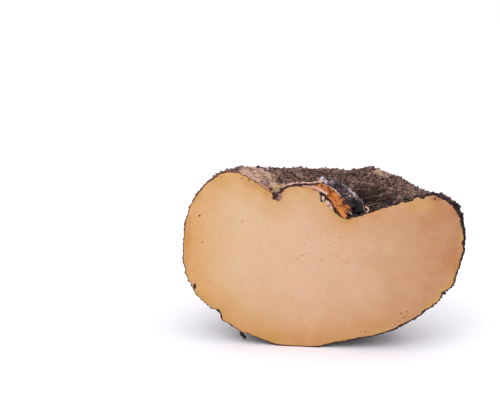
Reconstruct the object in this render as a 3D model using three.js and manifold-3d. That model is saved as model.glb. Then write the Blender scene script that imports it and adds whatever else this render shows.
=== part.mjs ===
// Half of an elephant foot yam, the corm of Amorphophallus paeoniifolius, sliced down through its crown.
//
// All sizes are in millimetres. The corm and everything that grows on it are shaped about its growth
// axis (+Z), with the slice in the XZ plane and the skinned half behind it (+Y). The standing group then
// tilts and leans them as the half rests on the flattened spot of its base. In the exported frame +Z is
// up, the slice faces -Y, and the origin is in the middle of the bounding box's bottom.

import * as THREE from "three";
import { ImprovedNoise } from "three/addons/math/ImprovedNoise.js";
import { mergeVertices } from "three/addons/utils/BufferGeometryUtils.js";
import Module from "manifold-3d";

const wasm = await Module();
wasm.setup();

const { degToRad, lerp, smoothstep } = THREE.MathUtils;

// ---- Driving dimensions ----

// The slice's outline, from the middle of the crown clockwise round the base: distance right of the
// growth axis, and height above the middle of the corm. Both sides have as many points, because a
// point on the right is matched with the one on the left.
const sliceOutline = [
  [0, 41],
  [26, 42],
  [48, 52],
  [75, 61.3],
  [93.2, 53.2],
  [102, 31],
  [100, 7],
  [91, -15],
  [73.5, -32.8],
  [54, -46.5],
  [34, -54.2],
  [15, -60.7],
  [0, -66.3],
  [-17, -69.3],
  [-37, -65.6],
  [-60.5, -59],
  [-84.5, -42.5],
  [-101.5, -23],
  [-106.5, 5],
  [-103, 33],
  [-89.5, 54],
  [-72, 61.8],
  [-48.5, 52],
  [-28, 41.5],
];
const depthShare = 0.88; // how far the corm reaches behind the slice, against its half width
// Behind the slice the base is flattened out where the half stands: by how much, between which shares
// of the way down to the slice's lowest point it sets in, and how far it goes down for each millimetre
// back from the slice.
const baseFilling = { fullness: 0.92, from: 0.35, to: 0.82, steepness: 0.26 };
const outlineSamples = 200; // points of the outline that are searched for its lowest
const surfaceFacets = 26; // cuts along each edge of the icosahedron that the body starts from

const clockwiseTilt = degToRad(5); // the growth axis leans to the right
const backwardLean = degToRad(3); // and away from the slice
const restFlattening = 2; // height of the bulge that is worn flat under the base

// The withered leaf stalk leaves a mound in the dished crown, with a bud pocket on its right.
const mound = { x: -22, y: 4, top: 56.5, topRadius: 11, leftFoot: 18, rightFoot: 30 };
const pocket = { x: 13, y: 3, radius: 15, depth: 4 };

// Uneven growth of the hidden side. Each swelling, or dent where its height is negative, is so far
// down from the crown and round from the right end of the slice, in degrees, and spreads as far.
const swellings = [
  { down: 50, round: 40, spread: 24, height: -5.5 },
  { down: 45, round: 66, spread: 8, height: 4 },
  { down: 48, round: 128, spread: 26, height: -4 },
  { down: 84, round: 62, spread: 22, height: 5 },
  { down: 100, round: 112, spread: 26, height: 4 },
  { down: 76, round: 142, spread: 16, height: 4 },
];

// Smaller lumps all over the skin: their size, and how far they stand out.
const lumps = [
  { length: 58, height: 6 },
  { length: 27, height: 3 },
  { length: 14, height: 1.2 },
];
const crownEdge = degToRad(45); // how far down from the crown its mound and pocket may reach
const lumpSeed = 7.3; // where in the noise the lumps are read
const smoothMargin = 32; // the lumps fade out this close to the slice

// What is left of the bud: soft tissue on the mound's right flank, and the papery scale over it.
const flankSlope = degToRad(35);
const bud = { x: 4, z: 50, length: 34, depth: 34, thickness: 9 };
const scale = { x: 8.5, z: 51, length: 42, depth: 46, thickness: 16 };

const lensFacets = 28; // facets round each of these two

const gap = 0.4; // air left between neighbouring solids
const rootSides = 8; // facets round a dried root
const rootStep = 4; // length of root between two rings of facets

// Dried roots that lie on the skin. Each point of a route gives how far it is down from the crown and
// round from the right end of the slice, in degrees, and its clearance over the skin.
const roots = [
  {
    name: "crown_root_long",
    radius: 0.8,
    route: [[41, 108, 0.7], [36, 94, 2.6], [37, 80, 2.4], [45, 68, 0.7]],
  },
  {
    name: "crown_root_short",
    radius: 0.6,
    route: [[24, 52, 0.7], [28, 38, 2], [33, 33, 1.8], [37, 38, 0.7]],
  },
  { name: "rim_root_stub", radius: 0.9, route: [[58.5, 3.5, 0.6], [59.5, 4, 1.4], [61.5, 4.5, 1.8]] },
  { name: "base_root_stub", radius: 0.9, route: [[137.8, 175, 0.6], [138.9, 175, 2.2], [140.6, 175, 3.6]] },
  {
    name: "side_root_right",
    radius: 1,
    route: [[70, 28, 0.7], [80, 38, 2.6], [92, 42, 1.2], [98, 56, 2.4], [95, 68, 0.7]],
  },
  {
    name: "side_root_back",
    radius: 1.1,
    route: [[62, 100, 0.7], [72, 90, 2.6], [86, 96, 1.2], [94, 110, 3], [90, 122, 0.7]],
  },
  {
    name: "side_root_left",
    radius: 0.9,
    route: [[64, 152, 0.7], [76, 144, 2.4], [88, 150, 1.2], [98, 140, 2.2], [104, 146, 0.7]],
  },
];

// ---- Materials ----

const skinMaterial = new THREE.MeshStandardMaterial({ color: 0x6b4f45, roughness: 0.95, metalness: 0 });
const budMaterial = new THREE.MeshStandardMaterial({ color: 0xb4631f, roughness: 0.6, metalness: 0 });
const scaleMaterial = new THREE.MeshStandardMaterial({ color: 0x5d5258, roughness: 0.8, metalness: 0 });
const rootMaterial = new THREE.MeshStandardMaterial({ color: 0x3d2c29, roughness: 0.9, metalness: 0 });

// ---- Helpers ----

const noise = new ImprovedNoise();

// A closed geometry as a manifold-3d solid.
function solidFrom(geometry) {
  const bare = geometry.index ? geometry.toNonIndexed() : geometry.clone();
  bare.deleteAttribute("normal");
  bare.deleteAttribute("uv");
  const merged = mergeVertices(bare, 1e-3);
  return new wasm.Manifold(
    new wasm.Mesh({
      numProp: 3,
      vertProperties: merged.attributes.position.array,
      triVerts: new Uint32Array(merged.index.array),
    }),
  );
}

// A manifold-3d solid as a three.js geometry.
function geometryFrom(solid) {
  const { vertProperties, triVerts } = solid.getMesh();
  return new THREE.BufferGeometry()
    .setAttribute("position", new THREE.BufferAttribute(vertProperties, 3))
    .setIndex(new THREE.BufferAttribute(triVerts, 1));
}

// A large box whose top is the plane through a point, square to an up direction.
function boxUnder(point, up) {
  const size = 600;
  const box = new THREE.BoxGeometry(size, size, size);
  box.translate(0, 0, -size / 2);
  box.applyQuaternion(new THREE.Quaternion().setFromUnitVectors(new THREE.Vector3(0, 0, 1), up));
  box.translate(point.x, point.y, point.z);
  return solidFrom(box);
}

// ---- Standing ----

const standing = new THREE.Group();
standing.rotation.set(-backwardLean, clockwiseTilt, 0);
const uprightInCorm = new THREE.Vector3(0, 0, 1).applyQuaternion(standing.quaternion.clone().invert());

// ---- The corm's surface ----

const outline = new THREE.CatmullRomCurve3(
  sliceOutline.map(([x, z]) => new THREE.Vector3(x, 0, z)),
  true,
  "centripetal",
);
const outlinePoints = outline.getPoints(outlineSamples);
const sliceBottom = Math.min(...outlinePoints.map((point) => point.dot(uprightInCorm)));

// The direction that is so many degrees down from the crown, and round from the slice's right end.
function directionTo(downAngle, roundAngle) {
  const down = degToRad(downAngle);
  const round = degToRad(roundAngle);
  const aside = Math.sin(down);
  return new THREE.Vector3(aside * Math.cos(round), aside * Math.sin(round), Math.cos(down));
}

// Roughly square to the squat corm's skin, for what stands out of it.
function outwardAt(point) {
  return new THREE.Vector3(point.x, point.y, 2 * point.z).normalize();
}

// Raises the mound out of the dished crown, and sinks the bud pocket beside it.
function shapeCrown(point) {
  const fromMound = Math.max(Math.hypot(point.x - mound.x, point.y - mound.y), 1e-6);
  const rightness = (1 + (point.x - mound.x) / fromMound) / 2;
  const foot = lerp(mound.leftFoot, mound.rightFoot, rightness);
  const fromPocket = Math.hypot(point.x - pocket.x, point.y - pocket.y);
  point.z = lerp(point.z, mound.top, 1 - smoothstep(fromMound, mound.topRadius, foot));
  point.z -= pocket.depth * (1 - smoothstep(fromPocket, 0, pocket.radius));
}

// Fills the base of the hidden side out, towards the level of the slice's lowest point, and returns
// how much of the way it went.
function fillBase(point, behind) {
  const share = point.dot(uprightInCorm) / sliceBottom;
  const aboveLevel = (share - 1) * sliceBottom;
  const fullness = baseFilling.fullness * behind * smoothstep(share, baseFilling.from, baseFilling.to);
  const filled = Math.min(fullness * aboveLevel, baseFilling.steepness * Math.max(point.y, 0));
  point.addScaledVector(uprightInCorm, -filled);
  return filled / Math.max(aboveLevel, 1);
}

// The point of the corm's surface that a direction from its middle stands for. Going down from the
// crown follows the outline, and going round blends its right side into its left.
function surfacePoint(direction) {
  const down = Math.acos(THREE.MathUtils.clamp(direction.z, -1, 1));
  const round = Math.atan2(direction.y, direction.x);
  const alongOutline = down / (2 * Math.PI);
  const right = outline.getPoint(alongOutline);
  const left = outline.getPoint(1 - alongOutline);
  const leftness = (1 - Math.cos(round)) / 2;
  const reach = lerp(right.x, -left.x, leftness);
  const point = new THREE.Vector3(
    reach * Math.cos(round),
    reach * Math.sin(round) * depthShare,
    lerp(right.z, left.z, leftness),
  );
  const behind = smoothstep(point.y, 0, smoothMargin);
  const unevenness = behind * (1 - fillBase(point, behind));
  if (down < crownEdge) shapeCrown(point);
  const outward = outwardAt(point);
  for (const swelling of swellings) {
    const away = direction.angleTo(directionTo(swelling.down, swelling.round)) / degToRad(swelling.spread);
    point.addScaledVector(outward, unevenness * swelling.height * Math.exp(-away * away));
  }
  for (const { length, height } of lumps) {
    const at = point.clone().divideScalar(length);
    point.addScaledVector(outward, unevenness * height * noise.noise(at.x, at.y + lumpSeed, at.z));
  }
  return point;
}

// The whole corm, before the knife.
function wholeCorm() {
  const geometry = new THREE.IcosahedronGeometry(1, surfaceFacets);
  const place = geometry.attributes.position;
  const direction = new THREE.Vector3();
  for (let i = 0; i < place.count; i++) {
    direction.fromBufferAttribute(place, i).normalize();
    place.setXYZ(i, ...surfacePoint(direction).toArray());
  }
  return geometry;
}

// ---- Cutting ----

// How far the lowest point of the half is along the upright, from the middle of the corm.
function lowestOf(geometry) {
  const place = geometry.attributes.position;
  const at = new THREE.Vector3();
  let lowest = Infinity;
  for (let i = 0; i < place.count; i++) {
    at.fromBufferAttribute(place, i);
    if (at.y > 0) lowest = Math.min(lowest, at.dot(uprightInCorm));
  }
  return lowest;
}

const whole = wholeCorm();
const restHeight = lowestOf(whole) + restFlattening;
const wholeSolid = solidFrom(whole);
const inFrontOfSlice = boxUnder(new THREE.Vector3(), new THREE.Vector3(0, 1, 0));
const underRest = boxUnder(uprightInCorm.clone().multiplyScalar(restHeight), uprightInCorm);

// Cuts away what is in front of the slice, and what the corm fills, with a gap on every side.
function clearOfCorm(solid) {
  const moves = [[0, 0, 1.2], [1, 0, 1], [-1, 0, 1], [0, 1, 1], [0, -1, 1]];
  let clear = solid.subtract(inFrontOfSlice);
  for (const [x, y, z] of moves) {
    clear = clear.subtract(wholeSolid.translate(x * gap, y * gap, z * gap));
  }
  return clear;
}

function addNode(name, geometry, material) {
  const mesh = new THREE.Mesh(geometry, material);
  mesh.name = name;
  standing.add(mesh);
}

addNode("corm_half", geometryFrom(wholeSolid.subtract(inFrontOfSlice).subtract(underRest)), skinMaterial);

// ---- The bud ----

// An ellipsoid over the bud, grown all round by an allowance. Its length follows the mound's flank.
function lens({ x, z, length, depth, thickness }, allowance) {
  const shape = new THREE.SphereGeometry(1, lensFacets, lensFacets / 2);
  shape.scale(length / 2 + allowance, depth / 2 + allowance, thickness / 2 + allowance);
  shape.rotateY(flankSlope);
  shape.translate(x, 0, z);
  return solidFrom(shape);
}

const tissue = clearOfCorm(lens(bud, 0));
const papery = clearOfCorm(lens(scale, 0).subtract(lens(bud, gap)));
addNode("bud_tissue", geometryFrom(tissue), budMaterial);
addNode("bud_scale", geometryFrom(papery), scaleMaterial);

// ---- Dried roots ----

// A curve that keeps its clearance over the skin all along a route of angles.
class SkinPath extends THREE.Curve {
  constructor(route, radius) {
    super();
    this.angles = new THREE.CatmullRomCurve3(route.map((stop) => new THREE.Vector3(...stop)));
    this.radius = radius;
  }

  getPoint(t, target = new THREE.Vector3()) {
    const at = this.angles.getPoint(t);
    target.copy(surfacePoint(directionTo(at.x, at.y)));
    return target.addScaledVector(outwardAt(target), at.z + this.radius);
  }
}

for (const { name, radius, route } of roots) {
  const extrudePath = new SkinPath(route, radius);
  const steps = Math.ceil(extrudePath.getLength() / rootStep);
  const section = new THREE.Shape().absarc(0, 0, radius, 0, 2 * Math.PI);
  const options = { curveSegments: rootSides / 2, steps, extrudePath };
  addNode(name, new THREE.ExtrudeGeometry(section, options), rootMaterial);
}

// ---- The part ----

const box = new THREE.Box3().setFromObject(standing, true);
const part = new THREE.Group();
standing.position.set(-(box.min.x + box.max.x) / 2, -(box.min.y + box.max.y) / 2, -restHeight);
part.add(standing);

export default part;
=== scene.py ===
# Half of an elephant foot yam, standing on its flattened base with the cut face to the front. The corm, its
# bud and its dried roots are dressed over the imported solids.
import math
import random

import bmesh
import bpy
from mathutils import Matrix, Vector, noise
from mathutils.bvhtree import BVHTree
from mathutils.kdtree import KDTree


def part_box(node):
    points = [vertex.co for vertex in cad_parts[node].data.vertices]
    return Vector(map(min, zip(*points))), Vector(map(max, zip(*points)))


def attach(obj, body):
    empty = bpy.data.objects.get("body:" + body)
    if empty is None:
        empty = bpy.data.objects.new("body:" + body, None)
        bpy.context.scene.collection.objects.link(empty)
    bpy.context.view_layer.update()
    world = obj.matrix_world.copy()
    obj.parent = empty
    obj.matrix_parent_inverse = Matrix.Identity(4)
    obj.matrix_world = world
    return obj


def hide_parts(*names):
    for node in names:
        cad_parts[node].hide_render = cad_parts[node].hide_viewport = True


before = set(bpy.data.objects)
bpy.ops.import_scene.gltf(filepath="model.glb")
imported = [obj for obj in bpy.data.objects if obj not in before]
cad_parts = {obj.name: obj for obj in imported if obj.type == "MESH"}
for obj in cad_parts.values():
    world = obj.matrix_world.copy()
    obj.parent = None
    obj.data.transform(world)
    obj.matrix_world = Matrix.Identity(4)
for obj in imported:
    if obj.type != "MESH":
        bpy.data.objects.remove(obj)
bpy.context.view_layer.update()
mm = 0.001
chance = random.Random(7)
noise.seed_set(7)

# The corm's own axes: x across the cut face, y back from it and z up the growth axis, from the corm's middle
stance = {
    "lean": math.radians(3),  # of the cut face, back from upright
    "tilt": math.radians(5),  # of the growth axis, to the right
    "middle": Vector((0.79, -45.99, 65.64)) * mm,
}
cormTurn = Matrix.Rotation(-stance["lean"], 3, "X") @ Matrix.Rotation(stance["tilt"], 3, "Y")
knifeSide = cormTurn @ Vector((0, -1, 0))  # the way that the cut face looks


def inCorm(point):  # a place in the scene, along the corm's own axes in mm
    return (cormTurn.transposed() @ (Vector(point) - stance["middle"])) / mm


def fromCorm(x, y, z):  # the other way round
    return cormTurn @ (Vector((x, y, z)) * mm) + stance["middle"]


def ease(low, high, value):  # smooth step, which also runs downwards
    share = min(max((value - low) / (high - low), 0), 1)
    return share * share * (3 - 2 * share)


# Camera

view = {
    "azimuth": math.radians(4),
    "elevation": math.radians(17.5),
    "distance": 1.3,
    "sensor": 36,
    "aimedAt": Vector((0, 0, 0.06)),
    "across": 0.3862,  # width of the picture at the half's middle
    "offCentre": (0.0597, 0.0358),  # how far right and low the half stands in the picture
}


def placeCamera():
    turn = Matrix.Rotation(view["azimuth"], 3, "Z") @ Matrix.Rotation(math.pi / 2 - view["elevation"], 3, "X")
    lens = bpy.data.cameras.new("camera")
    lens.sensor_width = view["sensor"]
    lens.lens = lens.sensor_width * view["distance"] / view["across"]
    camera = bpy.data.objects.new("camera", lens)
    camera.location = view["aimedAt"] + turn @ Vector((0, 0, view["distance"]))
    right, low = view["offCentre"]
    aim = view["aimedAt"] + turn @ Vector((-right, low, 0))
    camera.rotation_euler = (camera.location - aim).to_track_quat("Z", "Y").to_euler()
    bpy.context.collection.objects.link(camera)
    bpy.context.scene.camera = camera
    print("camera placed")


placeCamera()

# What the materials share

# The noise that their patterns are made of
grain = {
    "stain": {"Detail": 4, "Roughness": 0.65},
    "vein": {"Detail": 1.5, "Distortion": 0.8},
    "bump": {"Detail": 5, "Roughness": 0.7},
}


def linear(code):  # an sRGB hex colour, as a shader reads it
    channels = [int(code[at:at + 2], 16) / 255 for at in (1, 3, 5)]
    return [c / 12.92 if c <= 0.04045 else ((c + 0.055) / 1.055) ** 2.4 for c in channels] + [1]


def addNode(tree, kind, inputs=None, output=0, **settings):  # gives one of the new node's sockets
    node = tree.nodes.new("ShaderNode" + kind)
    for name, value in settings.items():
        setattr(node, name, value)
    for name, value in (inputs or {}).items():
        if isinstance(value, bpy.types.NodeSocket):
            tree.links.new(value, node.inputs[name])
        else:
            node.inputs[name].default_value = value
    return node.outputs[output]


def newMaterial(name, **shaderValues):
    material = bpy.data.materials.new(name)
    material.use_nodes = True
    tree = material.node_tree
    shader = tree.nodes["Principled BSDF"]
    for socket, value in shaderValues.items():
        shader.inputs[socket.replace("_", " ")].default_value = value
    place = addNode(tree, "TexCoord", output="Object")
    point = addNode(tree, "Mapping", {"Vector": place, "Scale": [1 / mm] * 3})  # in mm
    return material, tree, shader, point


# Lays a tint, a code or another node's colour, over a colour where a value runs from low to high
def laidOver(tree, colour, value, low, high, strength, tint):
    cover = addNode(tree, "MapRange", {"Value": value, "From Min": low, "From Max": high, "To Max": strength})
    tint = linear(tint) if isinstance(tint, str) else tint
    return addNode(tree, "Mix", {0: cover, 6: colour, 7: tint}, 2, data_type="RGBA")


# Clouds of colour. Each stain: its size in mm, the noise from and up to which it shows, its strength and tint
def stained(tree, point, colour, stains):
    for size, *cover in stains:
        cloud = addNode(tree, "TexNoise", {"Vector": point, "Scale": 1 / size, **grain["stain"]})
        colour = laidOver(tree, colour, cloud, *cover)
    return colour


# Thin curly lines. Each vein: how far apart in mm, its half width in the noise, its strength and tint
def veined(tree, point, colour, veins):
    for size, width, strength, tint in veins:
        cloud = addNode(tree, "TexNoise", {"Vector": point, "Scale": 1 / size, **grain["vein"]})
        level = addNode(tree, "Math", {0: cloud, 1: 0.5}, operation="SUBTRACT")
        away = addNode(tree, "Math", {0: level}, operation="ABSOLUTE")
        colour = laidOver(tree, colour, away, width, width * 0.4, strength, tint)
    return colour


def tinted(tree, colour, name, *cover):  # lays a tint where an attribute of the mesh is high
    value = addNode(tree, "Attribute", output="Fac", attribute_name=name)
    return laidOver(tree, colour, value, *cover)


def roughened(tree, point, shader, grains):  # each grain: its size and its depth, in mm
    normal = None
    for size, depth in grains:
        height = addNode(tree, "TexNoise", {"Vector": point, "Scale": 1 / size, **grain["bump"]})
        inputs = {"Height": height, "Distance": depth * mm}
        if normal:
            inputs["Normal"] = normal
        normal = addNode(tree, "Bump", inputs)
    tree.links.new(normal, shader.inputs["Normal"])


# A ground colour with stains, then tints over it, and grains in its surface
def plainMaterial(name, ground, stains, tints=(), grains=((1, 0.4),), **shaderValues):
    dry = {"Roughness": 0.8, "Specular_IOR_Level": 0.3}
    material, tree, shader, point = newMaterial(name, **{**dry, **shaderValues})
    colour = stained(tree, point, linear(ground), stains)
    for tint in tints:
        colour = tinted(tree, colour, *tint)
    tree.links.new(colour, shader.inputs["Base Color"])
    roughened(tree, point, shader, grains)
    return material


# What the pieces share

# How near a corner of a solid counts as being there
touch = {
    "corner": 0.01 * mm,
    "floor": 0.02 * mm,
    "knife": 0.05 * mm,
}


def asBlock(item):  # an object as it is drawn, as a bmesh, and the object goes
    bpy.context.collection.objects.link(item)
    drawn = item.evaluated_get(bpy.context.evaluated_depsgraph_get())
    block = bmesh.new()
    block.from_mesh(bpy.data.meshes.new_from_object(drawn))
    bpy.data.objects.remove(item)
    return block


def asObject(block, name, materials=()):  # the other way round
    mesh = bpy.data.meshes.new(name)
    block.to_mesh(mesh)
    block.free()
    for material in materials:
        mesh.materials.append(material)
    return bpy.data.objects.new(name, mesh)


def fineCopy(node, voxel, overrun=0):  # a solid finely meshed, and run on past the knife and the floor
    solid = bmesh.new()
    solid.from_mesh(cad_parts[node].data)
    bmesh.ops.remove_doubles(solid, verts=solid.verts, dist=touch["corner"])
    for vert in solid.verts:
        onFloor = vert.co.z < touch["floor"]
        if abs((vert.co - stance["middle"]).dot(knifeSide)) < touch["knife"]:
            vert.co += knifeSide * overrun
        if onFloor:
            vert.co.z -= overrun
    rough = asObject(solid, "rough")
    remesh = rough.modifiers.new("voxels", "REMESH")
    remesh.mode = "VOXEL"
    remesh.voxel_size = voxel
    return asBlock(rough)


def smoothed(block, times):
    for _ in range(times):
        bmesh.ops.smooth_vert(block, verts=block.verts, factor=0.5,
                              use_axis_x=True, use_axis_y=True, use_axis_z=True)


def sweep(paths, roundness):  # round bars along paths of (point, radius), as one bmesh
    curve = bpy.data.curves.new("sweep", "CURVE")
    curve.dimensions = "3D"
    curve.bevel_depth = 1
    curve.bevel_resolution = roundness
    curve.use_fill_caps = True
    for path in paths:
        spline = curve.splines.new("POLY")
        spline.points.add(len(path) - 1)
        for knot, (point, radius) in zip(spline.points, path):
            knot.co = (*point, 1)
            knot.radius = radius
    return asBlock(bpy.data.objects.new("sweep", curve))


def addLayers(block, *names):  # values that the materials read at each vertex
    return [block.verts.layers.float.new(name) for name in names]


def layered(place, layers):  # noise in layers, each with its height and its size
    total = 0
    for height, size in layers:
        total += height * noise.noise(place / size)
    return total


def finished(block, name, slot, materials, stoodFor=()):  # makes the piece, which rides on the corm
    bmesh.ops.recalc_face_normals(block, faces=block.faces)
    for face in block.faces:
        face.smooth = True
    piece = asObject(block, name, materials)
    bpy.context.collection.objects.link(piece)
    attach(piece, "root")
    if stoodFor:
        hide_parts(*stoodFor)
    print(name + ":", sum(len(face.vertices) - 2 for face in piece.data.polygons), "triangles")


# The corm

corm = {
    "voxel": 0.95 * mm,
    "overrun": 5 * mm,
    "smoothings": 16,
    "skin": 0.7 * mm,  # thickness of the dark skin where the knife went through it
    "edgeRounds": 6,  # how often the flesh's edge is evened out
    "cutGrid": 2 * mm,
    "cutReach": {(1, 0, 0): 0.11, (0, 0, 1): 0.075},  # how far its grid runs each way along these axes
    "swell": (0.35, 5, [(0.1, 13)]),  # the flesh's height, how near the rim it rises, and its waves
    # root scars and nodules: how many, how far apart, their radius and height from the least to the most,
    # and the share of them that are rings
    "warts": {"count": 620, "apart": 5.6 * mm, "radius": (1, 3), "height": (0.35, 1.1), "hollow": 0.16},
    "nodules": {"count": 15, "apart": 34 * mm, "radius": (6.5, 11.5), "height": (1.2, 2.1), "hollow": 0},
    "tries": 4,  # for each of them
    "spread": (0.7, 1.4),  # how far the distance between them varies
    "noduleTop": 18,  # nodules only grow below this height
    "flatLump": 5,  # radius from which they are flat on top
    # growth rings, which run on down the side below the shoulder, and fade from and over a distance
    "rings": {"spacing": 6.5, "height": 0.75, "shoulder": 58, "wander": [(4.2, 26), (1.6, 9)],
              "fade": (70, 75)},
    # cork: its plates' width and how sharp their edges are, how deep it lies, its swells and crumbs
    "cork": {"plate": 3.6, "sharp": 2.6, "depth": 0.6, "swells": (0.8, 7), "crumbs": [(0.35, 1.9)]},
    "crown": ((22, 20), 30),  # middle and reach of the painted shade in the hollow round the bud, seen from above
    "paintedRimShade": {"front": (22, 9), "right": (56, 76), "up": (25, 40)},  # painted shade on the skin over the right end, near the cut and high up
    "web": (36, 52),  # heights between which the skin turns granular
    # bare stretches of the crown: middle and half size, seen from above, and how bare
    "bare": [((-54.5, 12.5), (17.5, 21), 1), ((35, 57), (7, 5), 0.65)],
    "bareAbove": 40,
    "bareRagged": [(0.4, 9), (0.25, 3.2), (0.1, 1.3)],
    # nicks in the rim, or clods where the depth is negative: where, how wide, how deep and how far back
    "nicks": [
        ((-76, -46.8), 3.6, 3, 12), ((-74, -50), 3, 2.2, 12), ((-72, -54.6), 3.4, -2, 12),
        ((-94, -35.5), 4.5, -1.5, 12), ((-39.2, 45.2), 2.4, 4.2, 14), ((101, 28), 1.8, 2.6, 8),
        ((90.6, -13), 2.8, 2.4, 11), ((96.5, -5), 3, -1.1, 10), ((62, -41), 2.4, 1.1, 8),
        ((-66, 62), 2.2, 1, 7), ((55, 55.8), 2.2, 1.3, 8), ((67, 60.3), 1.8, 1.2, 7),
        ((76, 61), 5, -1.8, 14), ((30, 44), 2, 1.2, 8), ((41, 49.4), 1.5, 1.4, 6), ((-5, 52), 3.6, 2.6, 6),
        ((79, -28), 2.4, 1.2, 10), ((-50, -62.5), 2.2, 0.9, 8), ((84, 58), 2, 1, 7),
    ],
    "nickReach": 2.5,  # in widths
    # blushes on the flesh: where, half width and half height, and strength
    "blushes": {
        "red": [((76.8, 58.6), (4.5, 1.9), 1), ((96, 17), (11, 13), 0.18), ((-34.7, 50.6), (2, 1.6), 0.5),
                ((-13.2, 54.5), (5, 2.6), 0.3), ((90.6, 49), (3.5, 5), 0.4)],
        "ochre": [((64, 53), (15, 5.5), 0.7), ((-46, -36), (36, 20), 0.18), ((-84, 53.5), (10, 5), 0.6),
                  ((-48.4, 49.5), (7, 4), 0.6), ((-36.8, -60), (20, 4.5), 0.6),
                  ((14.8, 33.5), (9, 2.6), 0.6), ((101, 12), (2.5, 12), 0.5)],
        "rust": [((31.5, 41), (8, 3.4), 0.9), ((-103.2, 0.5), (4.5, 32), 0.5), ((-57, 52.8), (11, 3), 0.6),
                 ((-46.5, 47), (6, 4), 0.5), ((0, -62), (45, 7), 0.35), ((95, 10), (10, 14), 0.35),
                 ((88.6, 53.6), (5, 4.5), 0.6)],
    },
}


def between(ends, share):  # a value part of the way from one end to the other
    return ends[0] + share * (ends[1] - ends[0])


def scatter(block, kind, suits):  # lumps of a kind over the skin, no nearer together than it says
    skin = [vert.co.copy() for vert in block.verts if suits(inCorm(vert.co))]
    lumps = []
    for _ in range(kind["count"] * corm["tries"]):
        place = chance.choice(skin)
        apart = kind["apart"] * chance.uniform(*corm["spread"])
        free = all((lump["place"] - place).length_squared > apart * apart for lump in lumps)
        if free and len(lumps) < kind["count"]:
            size = chance.random() ** 2
            lumps.append({
                "place": place,
                "radius": between(kind["radius"], size),
                "height": between(kind["height"], size),
                "hollow": chance.random() < kind["hollow"],
            })
    tree = KDTree(len(lumps))
    for index, lump in enumerate(lumps):
        tree.insert(lump["place"], index)
    tree.balance()
    return lumps, tree


def lumpAt(lumps, tree, place):  # height of the nearest lump there
    _, index, away = tree.find(place)
    lump = lumps[index]
    share = away / mm / lump["radius"] * (1 + 0.3 * noise.noise(place / (1.6 * mm)))
    if share >= 1:
        return 0.0
    dome = (1 - share * share) ** 2
    if lump["radius"] > corm["flatLump"]:
        dome = (1 - share ** 4) ** 2 * (1 + 0.35 * noise.noise(place / (2.4 * mm)))
    if lump["hollow"]:  # a rim with a pit inside it
        dome = 1.2 * math.exp(-((share - 0.55) / 0.24) ** 2) - 0.5 * math.exp(-(share / 0.3) ** 2)
    return lump["height"] * dome


def ringsAt(own):  # growth rings, which fade out down the side
    rings = corm["rings"]
    fromCrown = math.hypot(own.x + 4, own.y) + max(0, rings["shoulder"] - own.z) * 0.9  # along the skin
    wave = math.sin(2 * math.pi * (fromCrown + layered(own, rings["wander"])) / rings["spacing"])
    start, length = rings["fade"]
    patchy = 0.55 + 0.6 * noise.noise(own / 15 + Vector((9, 0, 0)))
    strength = max(0, 1 - max(0, fromCrown - start) / length) * patchy
    return rings["height"] * strength * wave


def corkAt(own):  # crumbly cork: plates a few millimetres wide, with finer crumbs on them
    cork = corm["cork"]
    plates = noise.voronoi(own / cork["plate"])[0]
    edge = min((plates[1] - plates[0]) * cork["sharp"], 1)
    height, size = cork["swells"]
    swells = height * noise.fractal(own / size, 1, 2.1, 3)
    return edge - cork["depth"] + swells + layered(own, cork["crumbs"])


# How strong patches are at a place. Each patch: its middle, its half sizes and its strength
def strongest(here, patches, edge, ragged):
    strength = 0.0
    for middle, sizes, most in patches:
        away = math.hypot(*[(at - mid) / half for at, mid, half in zip(here, middle, sizes)])
        strength = max(strength, most * ease(*edge, away + ragged))
    return strength


def bareAt(own):  # how far the skin has come off there
    if own.z < corm["bareAbove"]:
        return 0.0
    return strongest(own.xy, corm["bare"], (1.12, 0.86), layered(own, corm["bareRagged"]))


def nickAt(own):  # how far nicks sink the skin
    sunk = 0.0
    for (x, z), width, depth, back in corm["nicks"]:
        away = math.hypot(own.x - x, own.z - z) / width
        if away < corm["nickReach"] and own.y < back:
            sunk += depth * math.exp(-away * away) * (1 - max(own.y, 0) / back)
    return sunk


def paintedShadeAt(own):  # how strong the painted shade is on the skin, in the crown's hollow and over the right end
    (x, y), reach = corm["crown"]
    hollow = ease(reach, reach / 2, math.hypot(own.x - x, own.y - y) + 10 * noise.noise(own / 6))
    dark = corm["paintedRimShade"]
    edge = ease(*dark["front"], own.y) * ease(*dark["right"], own.x) * ease(*dark["up"], own.z)
    return max(hollow, edge)


def roughenSkin(block):
    warts, wartTree = scatter(block, corm["warts"], lambda own: own.y > 0)
    nodules, noduleTree = scatter(
        block, corm["nodules"], lambda own: own.y > 12 and own.z < corm["noduleTop"])
    relief, scar, bare, nodule, crown, web = addLayers(
        block, "relief", "scar", "bare", "nodule", "crown", "web")
    block.normal_update()
    moves = []
    for vert in block.verts:
        own = inCorm(vert.co)
        bald = bareAt(own)
        wart = lumpAt(warts, wartTree, vert.co) * (1 - bald)
        knob = lumpAt(nodules, noduleTree, vert.co)
        rings = ringsAt(own) * (1 - 0.5 * bald)
        cork = corkAt(own) * (1 - 0.75 * bald)
        nick = nickAt(own)
        vert[relief] = 0.5 + 0.4 * wart + 0.35 * rings + 0.5 * cork - 0.5 * nick
        vert[scar] = min(max(wart * 1.6, 0), 1)
        vert[bare] = bald
        vert[nodule] = min(knob, 1)
        # painted shade in the hollow round the bud and over the right end
        vert[crown] = paintedShadeAt(own)
        vert[web] = ease(*corm["web"], own.z)
        moves.append(vert.normal * (wart + knob + rings + cork - nick) * mm)
    for vert, move in zip(block.verts, moves):
        vert.co += move


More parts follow.
